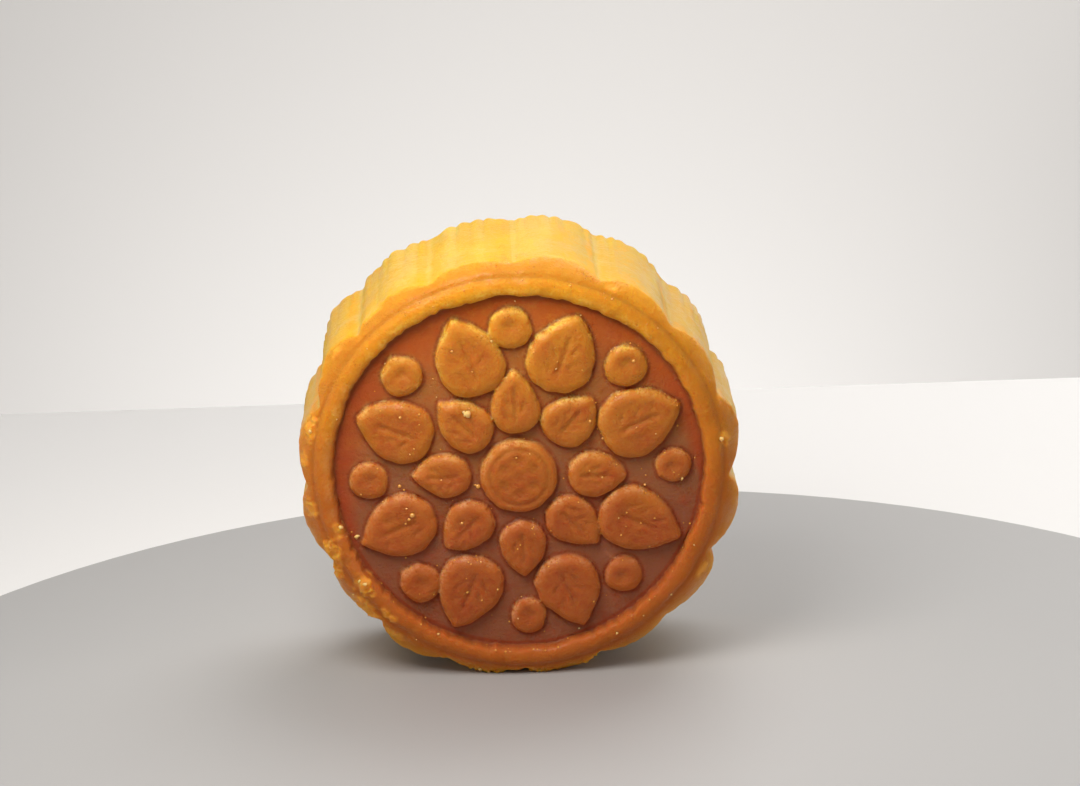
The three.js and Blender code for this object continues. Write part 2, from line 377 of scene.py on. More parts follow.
def petal_carving(along, across, form):
    """Depth of the lines on a petal: a bent one down its middle and short strokes beside it."""
    salt = 10 * form["angle"]
    share = along / form["length"]
    bend = across - VEIN_BEND * (share**2 - 0.04) * uneven(salt, 31)
    depth = bell(bend, *VEIN) * (1 - smooth_step(np.abs(share + 0.03), *VEIN_FADES))
    for i in range(STROKES):
        side = 1 if i % 2 else -1
        out = FIRST_STROKE + NEXT_STROKE * i + STROKE_UNEVEN * uneven(salt + i, 32)
        off = side * (STROKE_OUT + STROKE_UNEVEN * uneven(salt + i, 33))
        place = (form["length"] * out, form["length"] * off)
        mark = stroke(along, across, place, side * varied(STROKE_SLANT, 0.5, salt + i, 34))
        depth = np.maximum(depth, (0.65 + 0.35 * uneven(salt + i, 35)) * mark)
    return depth


def pod_carving(along, across, form):
    """Depth of the groove inside the pod's rim and of its dimples, each with a seed's tip."""
    depth = bell(np.hypot(along, across) - POD_GROOVE_RADIUS, *POD_GROOVE)
    for i in range(POD_SEEDS + 1):
        circle = POD_SEED_CIRCLE if i < POD_SEEDS else 0
        away = away_from(along, across, circle, i * 2 * math.pi / POD_SEEDS)
        depth += bell(away, *POD_DIMPLE) - bell(away, *SEED_TIP)
    return depth


def seed_carving(along, across, form):
    """A shallow thumb mark, off the middle of the seed."""
    return bell(away_from(along, across, SEED_DIMPLE_OFF, math.pi * uneven(form["angle"], 36)), *SEED_DIMPLE)


CARVED_FORMS = [(form, petal_inside, petal_carving) for form in PETAL_FORMS]
CARVED_FORMS += [(form, round_inside, seed_carving) for form in SEED_FORMS]
CARVED_FORMS.append((POD, round_inside, pod_carving))
print("forms to carve:", len(CARVED_FORMS))

# %% The relief over any points of the face
OUTLINE_WAVES = [(1.5, 0.16, 41), (4.8, 0.224, 42)]
CARVED_FROM = (0.3, 1.0)  # the carving sets in between these distances inside the outline
NEAR = 2.4  # a form is looked at this far outside its reach


def relief(x, z):
    """Height, distance inside the nearest form and the way straight in, for points of the face."""
    wobble = waves(np.stack([x, np.zeros_like(x), z], axis=1), OUTLINE_WAVES)
    height = np.zeros(len(x))
    inside = np.full(len(x), -NEAR)
    way_in = np.zeros((len(x), 2))
    for form, measure, carve in CARVED_FORMS:
        sine, cosine = math.sin(form["angle"]), math.cos(form["angle"])
        along = x * sine + z * cosine - form["centre"]
        across = x * cosine - z * sine
        near = np.flatnonzero(np.hypot(along, across) < form["reach"] + NEAR)
        gap, way = measure(along[near], across[near], form)
        gap = gap + wobble[near]
        cut = carve(along[near], across[near], form) * smooth_step(gap, *CARVED_FROM)
        nearest = gap > inside[near]
        chosen = near[nearest]
        inside[chosen] = gap[nearest]
        height[chosen] = (pressed(gap, form["height"]) - cut)[nearest]
        way = way[nearest]
        way_in[chosen] = np.stack([way[:, 0] * sine + way[:, 1] * cosine,
                                   way[:, 0] * cosine - way[:, 1] * sine], axis=1)
    return height, inside, way_in


# %% [markdown]
# ## The mesh of the face
#
# A steep wall on an even grid turns into a staircase. So the grid's points that lie near a form's
# outline are first pulled straight onto it, and those near the top of its wall onto that line. Every
# wall is then one clean strip of faces, and each square is split along the diagonal whose ends differ
# least in height. The grid itself is a square that is bent into a disc, because its cells stay nearly
# even, while those of a polar grid crowd together at the middle.

# %% Grid over the field
GRID = 200  # cells across the field
COLUMNS = 4 * GRID  # round its rim
GRID_RADIUS = 28.27
PULL = 0.14


def disc_grid():
    """Points of a square grid, bent into a disc of radius 1."""
    steps = np.linspace(-1, 1, GRID + 1)
    a, b = (part.ravel() for part in np.meshgrid(steps, steps))
    upright = np.abs(b) >= np.abs(a)
    reach = np.where(upright, b, a)
    other = np.where(upright, a, b)
    turn = math.pi / 4 * other / np.where(reach == 0, 1, reach)
    x = np.where(upright, reach * np.sin(turn), reach * np.cos(turn))
    z = np.where(upright, reach * np.cos(turn), reach * np.sin(turn))
    return x, z


def rim_of_grid():
    """Indices round the grid, clockwise from the top."""
    table = np.arange((GRID + 1) ** 2).reshape(GRID + 1, GRID + 1)
    half = GRID // 2
    right, left = table[GRID:0:-1, GRID], table[0:GRID, 0]
    return np.concatenate([table[GRID, half:GRID], right, table[0, GRID:0:-1], left, table[GRID, 0:half]])


field_x, field_z = (GRID_RADIUS * part for part in disc_grid())
for _ in range(2):
    _, inside, way_in = relief(field_x, field_z)
    for line in (0, WALL_RUN):
        pull = np.where(np.abs(inside - line) < PULL, line - inside, 0)
        pull *= np.hypot(field_x, field_z) < GRID_RADIUS - 2 * PULL
        field_x = field_x + pull * way_in[:, 0]
        field_z = field_z + pull * way_in[:, 1]
field_height, field_inside, way_in_field = relief(field_x, field_z)
print("grid points on the face:", len(field_x), "tallest form:", round(field_height.max(), 2), "mm")


# %% The field between the forms
FIELD_WAVES = [(3.6, 0.12, 51)]
OPEN_FROM = (-0.2, 0.3)  # the open field ends between these distances inside an outline
BLISTERS = 46
BLISTER_HEIGHT = 0.15
BLISTER_WIDTH = (0.35, 0.95)


def blisters(x, z):
    """Low round blisters, where steam lifted the skin."""
    rng = np.random.default_rng(8)
    height = np.zeros_like(x)
    for _ in range(BLISTERS):
        angle, out = rng.uniform(0, 2 * math.pi), FIELD_RADIUS * math.sqrt(rng.uniform(0.02, 0.93))
        width, share = rng.uniform(*BLISTER_WIDTH), rng.uniform(0.25, 1)
        height += bell(away_from(z, x, out, angle), width, share * BLISTER_HEIGHT)
    return height


field_points = in_cake(field_x, field_z, 0.0)
open_field = 1 - smooth_step(field_inside, *OPEN_FROM)
ground = waves(field_points, FIELD_WAVES) + blisters(field_x, field_z)
field_points[:, 1] = FIELD_DEPTH - field_height - open_field * ground
quads = np.arange(GRID * GRID)
first = quads // GRID * (GRID + 1) + quads % GRID
corners = np.stack([first, first + 1, first + GRID + 2, first + GRID + 1], axis=1)
depth = field_points[:, 1][corners]
rising = (np.abs(depth[:, 0] - depth[:, 2]) <= np.abs(depth[:, 1] - depth[:, 3]))[:, None]
one_half = np.where(rising, corners[:, [0, 1, 2]], corners[:, [0, 1, 3]])
other_half = np.where(rising, corners[:, [0, 2, 3]], corners[:, [1, 2, 3]])
field_faces = np.concatenate([one_half, other_half])
print("faces on the field:", len(field_faces))

# %% [markdown]
# ## Ring, sloping edge and side
#
# From the rim of the field outwards the cake is a turned shape, so it is built as rows: each row is one
# closed loop of points round the cake, with its own radius and depth at every angle. The raised ring is
# a soft bead. Outside it a narrow groove follows, and then the slope that dips away to the scalloped
# side. The rows lie close together where the surface turns and far apart on the long side. Every row
# also gets its tone, which says how pale the crust is there.

# %% Rows over the ring and the sloping edge
# Radius, depth and tone, across the ring from the field out; the tone dips in the groove, a painted shade
RING_ROWS = [
    (28.41, 1.97, 0.1), (28.52, 1.5, 0.16), (28.6, 1.04, 0.2), (28.7, 0.64, 0.28), (28.84, 0.38, 0.38),
    (29.06, 0.2, 0.46), (29.36, 0.08, 0.5), (29.7, 0.02, 0.52), (30.05, 0.0, 0.52), (30.35, 0.04, 0.5),
    (30.62, 0.13, 0.48), (30.86, 0.27, 0.45), (31.06, 0.45, 0.41), (31.24, 0.62, 0.38),
    (31.44, 0.77, 0.37), (31.7, 0.86, 0.4),
]
EDGE_SHARES = [0.1, 0.22, 0.36, 0.52, 0.68, 0.82, 0.92, 0.98]
EDGE_BULGE = 1.5
ROUNDED_FROM = 0.9  # share of the edge at which its outer corner starts to turn
GROOVE_FLOOR = 0.06
EDGE_TONE = 0.48
EDGE_TONE_RISE = 0.17
RING_PAINTED_LIGHT_ABOVE = 0.09  # painted light: the ring is paler near the top, where the lamp falls
EDGE_PAINTED_SHADE_ABOVE = 0.081  # and the sloping edge browner there, a painted shade
RAGGED = [(0.9, 0.2, 61), (2.7, 0.16, 62)]  # the ring's inner edge
RING_SWAY = [(5.5, 0.2, 63)]
RING_SWELL = [(5.5, 0.1, 64), (1.925, 0.06, 65)]
FRAYED = [(0.9, 0.26, 66), (2.7, 0.208, 67)]  # the edge's outer corner

angles = np.arange(COLUMNS) * 2 * math.pi / COLUMNS
upper = np.cos(angles + 0.35)  # 1 just left of the top, -1 opposite it
rim_points = crept(FIELD_RADIUS, angles, 0.0, 0)
ragged, sway, swell = (waves(rim_points, layers) for layers in (RAGGED, RING_SWAY, RING_SWELL))
rows = []
tones = []
for radius, depth, tone in RING_ROWS:
    inner = math.exp(-max(0, radius - 28.75) / 0.5)
    bead = 1 - min(1, depth / GROOVE_DEPTH)
    rows.append(round_cake(radius + inner * ragged + bead * sway, angles, depth - bead * swell))
    tones.append(tone + RING_PAINTED_LIGHT_ABOVE * bead * upper)
corner = corner_radius(angles)
frayed = waves(crept(corner, angles, 0.0, 0), FRAYED)
for share in EDGE_SHARES:
    radius = GROOVE_RADIUS + share * (corner - GROOVE_RADIUS)
    turned_down = max(0, share - ROUNDED_FROM) / (EDGE_SHARES[-1] - ROUNDED_FROM)
    depth = GROOVE_DEPTH + share**EDGE_BULGE * (edge_depth(corner) - GROOVE_DEPTH)
    depth += GROOVE_FLOOR * math.exp(-share / 0.12) + 0.024 * turned_down + share**4 * frayed
    rows.append(round_cake(radius - 0.036 * turned_down, angles, depth))
    # Tone of the sloping edge: browner by the groove, a painted shade, paler out towards the side, and less
    # pale near the top, a painted shade
    tones.append(EDGE_TONE + share**0.8 * (EDGE_TONE_RISE - EDGE_PAINTED_SHADE_ABOVE * upper))
print("rows on the ring and the sloping edge:", len(rows))

# %% Rows down the side, with ribs that grow towards the back
SIDE_ROWS = 22
RIB_PITCH = 2.05
RIB_HEIGHT = 0.25
RIB_START = 0.16  # share of the rib height that is left at the front
RIB_GROWTH = 2.6
RIB_WANDER = [(3.485, 0.4, 71)]
RIB_VARIETY = [(2.46, 0.6, 72)]
SIDE_BANDS = [(5.33, 0.1, 73)]
SIDE_TONE = 0.9
SIDE_TINT = 0.11
TINT_BANDS = [(2.4, 1.0, 74)]
# width of the painted highlight along each notch
NOTCH_HIGHLIGHT = 0.35
SHADE_BESIDE_NOTCH = (1.2, 0.7)  # how far from the notch a stripe of painted shade lies, and its width


def ribs(angle, share):
    """Height of the fine ribs that a hand-cut mould leaves, at a share of the way to the back."""
    pace = NOTCH_RADIUS * angle / RIB_PITCH + waves(along_side, RIB_WANDER)
    strength = 0.7 + waves(along_side, RIB_VARIETY)
    growth = RIB_START + (1 - RIB_START) * share**RIB_GROWTH
    clear = smooth_step(from_notch(angle), 0.2, 1.0)
    beads = 2 * np.abs(np.sin(math.pi * pace)) - 1.2
    return clear * (growth * RIB_HEIGHT * strength * beads + waves(along_side, SIDE_BANDS))


along_side = NOTCH_RADIUS * angles[:, None] * (1, 0, 0)
# Side tint: random bands, a painted highlight along each notch and a painted shade stripe beside it
shade_stripe = bell(from_notch(angles) - SHADE_BESIDE_NOTCH[0], SHADE_BESIDE_NOTCH[1])
shaded_side = 0.72 - 0.6 * np.sign(np.sin(LOBES * angles))  # the painted shade is strong on one side of the notch
notch_light_and_shade = bell(from_notch(angles), NOTCH_HIGHLIGHT) - shaded_side * shade_stripe
side_bands_and_shading = SIDE_TINT * (waves(along_side, TINT_BANDS) + notch_light_and_shade)
start_depth = edge_depth(corner) + 0.3 + frayed
end_depth = THICKNESS - BACK_ROUNDING
for share in np.linspace(0, 1, SIDE_ROWS):
    depth = start_depth + share * (end_depth - start_depth)
    rows.append(round_cake(side_radius(angles, depth) + ribs(angles, share), angles, depth))
    # The front of the side is a little browner where it meets the edge, and browner still lower down, a
    # painted shade
    tones.append(SIDE_TONE - (0.14 - 0.06 * upper) * max(0, 1 - 4 * share) + side_bands_and_shading)
back_outline = side_radius(angles, THICKNESS) + ribs(angles, 1)
for turn in np.radians([22.5, 45, 67.5, 90]):
    depth = THICKNESS - BACK_ROUNDING * (1 - math.sin(turn))
    rows.append(round_cake(back_outline - BACK_ROUNDING * (1 - math.cos(turn)), angles, depth))
    tones.append(1.0)
print("rows with the side:", len(rows))

# %% [markdown]
# ## The back
#
# The back lay on the baking tray. It is flat, and sunk by a few tenths of a millimetre in its middle,
# where the paste settled. It needs fewer points towards the middle, so the number of columns is halved
# three times on the way in, and every halving is a row of triangles that joins two points to one.

# %% Rows over the back
BACK_RADIUS = 34.3
BACK_HOLLOW = 0.5
# Share of the radius, and one point for every so many columns
BACK_ROWS = [(0.985, 1), (0.96, 2)]
for every, first_share, last_share, count in [(2, 0.935, 0.56, 16), (4, 0.53, 0.25, 9), (8, 0.21, 0.07, 4)]:
    BACK_ROWS += [(share, every) for share in np.linspace(first_share, last_share, count)]


def back_row(share, every):
    """A row on the back. Its lobes fade out towards the middle."""
    outline = back_outline[::every] - BACK_ROUNDING
    radius = share * (BACK_RADIUS + (outline - BACK_RADIUS) * share**3)
    sunk = BACK_HOLLOW * (1 - share**2) ** 2
    return crept(radius, angles[::every], THICKNESS - sunk, share**3)


def joined(before, after, start):
    """Faces between two rows, the first of which starts at the index start."""
    count, fewer = len(before), len(after)
    i = np.arange(fewer)
    after_start = start + count
    here, follow = after_start + i, after_start + (i + 1) % fewer
    if count == fewer:
        return [np.stack([start + i, start + (i + 1) % fewer, follow, here], axis=1)]
    middle = start + 2 * i + 1
    return [
        np.stack([start + 2 * i, middle, here], axis=1),
        np.stack([middle, follow, here], axis=1),
        np.stack([middle, start + (2 * i + 2) % count, follow], axis=1),
    ]


side_rows = len(rows)
for share, every in BACK_ROWS:
    rows.append(back_row(share, every))
    tones.append(1.0)
print("rows in all:", len(rows))

# %% One skin from all of it
rim = rim_of_grid()
start = len(field_points)
i = start + np.arange(COLUMNS)
faces = [field_faces, np.stack([rim, np.roll(rim, -1), np.roll(i, -1), i], axis=1)]
for before, after in zip(rows[:-1], rows[1:]):
    faces += joined(before, after, start)
    start += len(before)
i = start + np.arange(len(rows[-1]))
faces.append(np.stack([i, np.roll(i, -1), np.full_like(i, start + len(i))], axis=1))
points = np.concatenate([field_points, *rows, [(0, THICKNESS - BACK_HOLLOW, 0)]])
faces = [tuple(face) for block in faces for face in block.tolist()]
print("points:", len(points), "triangles:", sum(len(face) - 2 for face in faces))

# %% [markdown]
# ## How pale the crust is
#
# The cake is brownest in its recessed field, where the skin is thin over the dark paste. The forms of
# the lotus are paler, the ring paler still, and the side is the palest. The tone of each point says
# which: 0 on the field, about 0.2 on the lotus, 0.5 on the ring, 0.9 on the side and 1 on the back. The
# material turns it into colour with one ramp, so that neighbouring zones run into each other.
#
# Five more numbers mark what the tone can't say: painted shade in the hollows at the foot of the walls
# and at the top of the sloping edge; a grey veil on the open field, a painted reflection; pale rims on the
# sides that face the light, painted highlights; the back, which lay on the tray; and, further down, torn
# skin.

# %% Numbers for every point
TONE_OF_RELIEF = (0.29, 0.17)  # at the rim of a form and in its middle; the paler rim is a painted glow, light shining through the thin edge
HOLLOW_SHADE = (0.2, 0.8)  # painted shade: its width at a form's foot, and its strength at the ring's foot
RING_FOOT = (28.48, 0.12)  # radius and width of the painted shade there
GROOVE_SHADE = [0.16, 0.14]  # painted shade in the groove, in the last two rows of the ring
EDGE_SHADE = 0.1
SHADE_ABOVE = 0.26  # how much more painted shade lies on the sloping edge at the top
VEIL_REACH = 3.4  # the painted grey veil sets in over this distance from the ring, and over more at its upper left
VEIL_TILT = np.array([-0.08, 0.4])
LESS_VEIL_ABOVE = 0.35  # how much less of the painted veil the top of the field has
LIGHT_FROM = np.array([-0.45, 0.89])  # the painted highlights lie on the sides that face the light, at the upper left
RIM_WIDTH = 0.52
RING_CREST = (29.4, 0.7)  # radius and width of the painted highlight along the ring
HIGHLIGHT_PATCHES = [(1.1, 0.9, 75)]


def over_skin(on_field, on_rows, in_middle=0.0):
    """A number for every point: on the field, on each row from the ring on, and in the back's middle.

    Rows that aren't named get 0."""
    on_rows = on_rows + [0.0] * (len(rows) - len(on_rows))
    row_values = [np.full(len(row), value) for row, value in zip(rows, on_rows)]
    return np.concatenate([on_field, *row_values, [in_middle]])


to_ring = GRID_RADIUS - np.hypot(field_x, field_z)
rim_tone, middle_tone = TONE_OF_RELIEF
tone_field = rim_tone + (middle_tone - rim_tone) * smooth_step(field_inside, 0.3, 2.0)
tone = over_skin(tone_field * smooth_step(field_height, 0.1, 0.75), tones, 1.0)

# Painted shade: darker at the foot of every wall and of the ring, in the groove, and more at the top of the
# sloping edge
crevice_shade_field = np.maximum(bell(field_inside + 0.15, HOLLOW_SHADE[0]), bell(to_ring, 0.4, HOLLOW_SHADE[1]))
crevice_shade_rows = [bell(radius - RING_FOOT[0], RING_FOOT[1], HOLLOW_SHADE[1]) for radius, _, _ in RING_ROWS[:-2]]
shade_above = SHADE_ABOVE * smooth_step(upper, 0.55, 0.95)
crevice_shade_rows += GROOVE_SHADE + [EDGE_SHADE * math.exp(-share / 0.15) + shade_above for share in EDGE_SHARES]
crevice_shade = over_skin(crevice_shade_field, crevice_shade_rows)

# Painted reflection: a grey veil over the open field, kept off the ring's foot, set in later at the upper
# left and thinner at the top
veil_reach = np.maximum(VEIL_REACH + VEIL_TILT[0] * field_x + VEIL_TILT[1] * field_z, 0.6)
veil_field = smooth_step(-field_inside, 0.05, 0.6) * smooth_step(to_ring, 0.2, veil_reach)
dry = over_skin(veil_field * (1 - LESS_VEIL_ABOVE * smooth_step(field_z, 2, 18)), [])

# Painted highlights: pale rims on the sides of the forms, the ring and the edge that face the light
facing_light = np.clip(-way_in_field @ LIGHT_FROM, 0, 1)
upwards = np.clip(0.3 + 0.7 * np.cos(angles + 0.5), 0, 1)
rim_highlight_rows = [upwards * bell(radius - RING_CREST[0], RING_CREST[1], 0.5) for radius, _, _ in RING_ROWS]
rim_highlight_rows += [0.4 * upwards * share**6 for share in EDGE_SHARES]
rim_highlight = over_skin((0.2 + 0.9 * facing_light) * bell(field_inside - WALL_RUN, RIM_WIDTH), rim_highlight_rows)
rim_highlight *= np.clip(0.7 + waves(points, HIGHLIGHT_PATCHES), 0, 1.2)

under_rows = [0.0] * (side_rows - 2) + [0.4, 0.9] + [0.75 + 0.25 * share for share, _ in BACK_ROWS]
under = over_skin(np.zeros(len(field_points)), under_rows, 0.75)
print("mean tone:", round(float(tone.mean()), 3))

# %% [markdown]
# ## Flaws
#
# Nothing that is pressed by hand comes out clean. Scabs of skin tore and baked on at the left of the rim,
# the ring lost some flakes, and the lowest lobes are crumbly. Each flaw is a patch with its own place
# and size, and inside it the surface is broken up by bumps with sharp valleys. Everywhere else the skin
# has low waves and small lumps. All of it moves points along the surface's own normal, so walls bulge
# sideways and the face forwards.

# %% Patches of torn skin
# Angle in degrees, radius, half length along the rim, half width, and how far the skin stands up
PATCHES = [
    (285.4, 32.6, 2.4, 1.0, 0.42), (276.5, 33.0, 1.6, 0.7, 0.22), (255.0, 29.2, 1.4, 0.9, 0.35),
    (262.5, 32.4, 2.0, 1.2, 0.36), (249.0, 31.3, 2.6, 1.5, 0.36), (242.5, 32.6, 1.6, 1.0, 0.3),
    (236.3, 29.9, 2.4, 1.6, 0.4), (230.5, 32.4, 3.0, 1.3, 0.36), (224.0, 30.4, 1.6, 0.8, 0.3),
    (218.0, 33.0, 2.2, 1.0, 0.3), (80.6, 32.0, 1.7, 0.9, 0.3), (70.0, 32.9, 1.2, 0.6, 0.2),
    (27.0, 32.6, 1.3, 0.6, 0.2), (190.0, 33.5, 3.6, 1.3, 0.45), (176.0, 33.2, 3.0, 1.1, 0.36),
    (161.0, 33.0, 2.2, 1.0, 0.3), (121.0, 32.6, 1.8, 0.8, 0.25), (321.0, 33.6, 2.6, 0.4, 0.16),
    (307.4, 33.7, 1.4, 0.4, 0.2),
]
PATCH_OUTLINE = [(0.8, 0.35, 81)]
PATCH_FADES = (0.55, 1.1)
FLAKES = (0.75, 2.2, 82)  # size, sharpness and seed
FLAKE_GRAIN = [(0.45, 0.35, 83)]


def torn(points):
    """How torn the skin is, from 0 to 1, and how far it stands up."""
    x, depth, z = points.T
    angle, radius = np.arctan2(x, z), np.hypot(x, z)
    front = 1 - smooth_step(depth, 4, 7)
    yellow = 0.3 + 0.7 * smooth_step(z, -32, -24)  # patches at the very bottom are less yellow, a painted shade at the foot
    ragged_patch = waves(points, PATCH_OUTLINE)
    mask, lift = np.zeros(len(points)), np.zeros(len(points))
    for degrees, centre, half_length, half_width, height in PATCHES:
        along = turn_from(angle, degrees) * centre / half_length
        away = np.hypot(along, (radius - centre) / half_width) + ragged_patch
        patch = front * (1 - smooth_step(away, *PATCH_FADES))
        mask = np.maximum(mask, patch * yellow)
        lift = np.maximum(lift, patch * height)
    size, sharpness, seed = FLAKES
    flakes = 1 - np.abs(lumps(points, size, seed)) * sharpness
    return mask, lift * np.clip(flakes + waves(points, FLAKE_GRAIN), -0.5, 1)


# %% Waves and lumps over the whole skin
SKIN_WAVES = [(9.0, 0.1, 91), (3.4, 0.1, 92), (1.6, 0.075, 93), (0.85, 0.04, 94)]
FIELD_CALM = 0.45  # how much lower they are between the forms


def normals_of(points):
    """The normal at every point of the skin."""
    trial = bpy.data.meshes.new("trial")
    trial.from_pydata(points.tolist(), [], faces)
    values = np.empty(3 * len(points))
    trial.vertex_normals.foreach_get("vector", values)
    bpy.data.meshes.remove(trial)
    return values.reshape(-1, 3)


torn_mask, torn_lift = torn(points)
strength = np.ones(len(points))
strength[: len(open_field)] -= FIELD_CALM * open_field
way_out = normals_of(points)
way_out[: len(field_points)] = (0, -1, 0)
bumped = points + way_out * (waves(points, SKIN_WAVES) * strength + torn_lift)[:, None]
print("torn points:", int((torn_mask > 0.5).sum()), "tallest flake:", round(torn_lift.max(), 2), "mm")

# %% [markdown]
# ## Standing the cake up
#
# A cake that is stood on its side rests on the crests of its two lowest lobes. Its back is wider than
# its front, so it leans forward until both crests lie along the table, and its weight presses a small
# flat on each. The lean follows from the taper. The height is read from the smooth shape, before the
# lumps, so that the finish doesn't move the cake.

# %% Lean and rest
reach_down = (-front_outline(angles) * np.cos(angles)).max()
LEAN = math.atan((BACK_SPREAD - 1) * reach_down / THICKNESS)
leaning = np.array(Matrix.Rotation(LEAN, 3, "X"))
smooth_shape = points @ leaning.T
middle_y = (smooth_shape[:, 1].min() + smooth_shape[:, 1].max()) / 2
lowest = smooth_shape[:, 2].min() + PRESSED_FLAT


def stood(cake_points):
    """Points of the cake, in metres, where it stands."""
    return (cake_points @ leaning.T - (0, middle_y, lowest)) * METRE


face_centre = Vector(stood(np.zeros(3)))
print("leans", round(math.degrees(LEAN), 2), "degrees; face centre", round(1000 * face_centre.z, 1), "mm up")


# %% The cake as a Blender object
def add_piece(name, data):
    """Puts a mesh, a lamp or a lens into the scene."""
    piece = bpy.data.objects.new(name, data)
    bpy.context.scene.collection.objects.link(piece)
    return piece


skin_points = stood(bumped)
skin_points[:, 2] = np.maximum(skin_points[:, 2], 0)
mesh = bpy.data.meshes.new("mooncake_skin")
mesh.from_pydata(skin_points.tolist(), [], faces)
mesh.shade_smooth()
# Three of these numbers carry painted light: shade in the hollows, a grey veil of reflection on the open
# field, and highlights on the rims.
point_values = {
    "tone": tone, "crevice_shade": crevice_shade, "dry": dry, "rim_highlight": rim_highlight, "torn": torn_mask, "under": under,
}
for name, values in point_values.items():
    mesh.attributes.new(name, "FLOAT", "POINT").data.foreach_set("value", values.astype(np.float32))
cake = add_piece("mooncake_skin", mesh)
print("cake's size in mm:", [round(1000 * side, 2) for side in cake.dimensions])

# %% [markdown]
# ## Crumbs
#
# A few crumbs of dry dough stick to the oily skin. Each is a small ball of triangles whose points are
# pushed in and out, squashed, turned at random and sunk into the skin. A ray from the front finds the
# skin below it, so that it sits on whatever form is there. The table presses those at the foot of the
# cake flat. All crumbs are one mesh, because they are one finish.

# %% Where the crumbs lie
# Angle in degrees, distance from the middle, and size
PLACED_CRUMBS = [
    (324.3, 12.93, 0.95), (323.0, 13.5, 0.5), (93.0, 25.0, 0.6), (250.0, 27.1, 0.85), (255.7, 28.6, 0.9),
    (236.3, 29.3, 0.7), (237.8, 29.9, 0.55), (80.6, 31.5, 0.6), (285.0, 32.6, 0.55), (190.1, 33.5, 0.9),
    (192.5, 33.2, 0.6), (178.0, 33.2, 0.55), (208.0, 28.8, 0.4), (151.0, 29.9, 0.45), (131.0, 30.6, 0.4),
]
STRAY_CRUMBS = 16
STRAY_SIZE = (0.2, 0.38)

crumb_rng = np.random.default_rng(5)
crumb_list = [(math.radians(angle), out, size) for angle, out, size in PLACED_CRUMBS]
for _ in range(STRAY_CRUMBS):
    out = FIELD_RADIUS * math.sqrt(crumb_rng.uniform(0.05, 1.3))
    crumb_list.append((crumb_rng.uniform(0, 2 * math.pi), out, crumb_rng.uniform(*STRAY_SIZE)))
print("crumbs:", len(crumb_list))

# %% Crumb meshes
CRUMB_LUMPS = [(0.9, 0.5, 101), (0.4, 0.3, 102)]
CRUMB_SQUASH = (0.6, 1.15)
CRUMB_SEAT = 0.12  # share of its size by which a crumb's middle stands off the skin
FACE_WAY = Vector((0, math.cos(LEAN), math.sin(LEAN)))  # straight into the face

skin_tree = BVHTree.FromPolygons(skin_points.tolist(), faces)


def skin_at(angle, out):
    """Where a straight line into the face meets the skin, and the skin's normal there."""
    start = stood(np.array([out * math.sin(angle), -5.0, out * math.cos(angle)]))
    return skin_tree.ray_cast(Vector(start), FACE_WAY)[:2]


def add_crumb(target, angle, out, size):
    """Adds one crumb to the skin, if there is skin at that place."""
    hit, normal = skin_at(angle, out)
    if hit is None:
        return
    made = bmesh.ops.create_icosphere(target, subdivisions=2, radius=0.5)["verts"]
    places = np.array([vertex.co for vertex in made])
    swell = 1 + waves(2 * places + crumb_rng.uniform(0, 50, 3), CRUMB_LUMPS)
    squash = Matrix.Diagonal(Vector(crumb_rng.uniform(*CRUMB_SQUASH, 3)))
    turn = Vector(crumb_rng.normal(size=3)).to_track_quat("Z", "Y").to_matrix()
    seat = hit + normal * size * CRUMB_SEAT * METRE
    for vertex, place, grow in zip(made, places, swell):
        vertex.co = seat + turn @ squash @ Vector(place * grow) * size * METRE
        vertex.co.z = max(vertex.co.z, 0)


def finished_piece(name, shape):
    """Turns what was collected in a bmesh into a smooth piece of the scene."""
    made = bpy.data.meshes.new(name)
    shape.to_mesh(made)
    shape.free()
    made.shade_smooth()
    print("triangles in", name + ":", len(made.polygons))
    return add_piece(name, made)


crumb_shape = bmesh.new()
for angle, out, size in crumb_list:
    add_crumb(crumb_shape, angle, out, size)
crumbs = finished_piece("crumbs", crumb_shape)

# %% [markdown]
# ## Beads of syrup
#
# In the days after baking the paste gives oil and syrup back to the skin, and some of it stands there as
# tiny beads. Each bead is a ball that is sunk by half. It can't be seen as a shape, but its round top
# always finds the lamp, so it shows as a glint. Roughness alone can't make such glints, because they
# need a surface that is steep and smooth at once.

# %% Bead meshes
# Angle in degrees, distance from the middle, and size
PLACED_BEADS = [
    (255.3, 6.6, 0.75), (258.0, 6.9, 0.4), (266.2, 18.5, 0.6), (264.0, 17.9, 0.35), (252.0, 17.5, 0.8),
    (250.5, 18.2, 0.5), (249.0, 19.0, 0.4), (232.0, 11.5, 0.45), (300.0, 20.5, 0.5), (335.0, 22.5, 0.45),
    (8.0, 20.0, 0.4), (52.0, 14.0, 0.5), (97.0, 19.5, 0.45), (205.0, 20.5, 0.45), (45.0, 25.2, 0.6),
]
BEAD_TRIES = 1500
KEPT_ANYWHERE = 20  # one try in so many stays wherever it lands
STEEP = 0.35  # the others stay where the skin's normal points up by more than this
BEAD_SIZE = (0.16, 0.38)
BEAD_HEIGHT = 0.75


def add_bead(target, angle, out, size, wanted):
    """Adds one bead, half sunk, if it is a wanted one or the skin faces up there."""
    hit, normal = skin_at(angle, out)
    if hit is None or not (wanted or normal.z > STEEP):
        return
    made = bmesh.ops.create_icosphere(target, subdivisions=2, radius=0.5 * size * METRE)["verts"]
    turn = normal.to_track_quat("Z", "Y").to_matrix() @ Matrix.Diagonal((1, 1, BEAD_HEIGHT))
    for vertex in made:
        vertex.co = hit + turn @ vertex.co


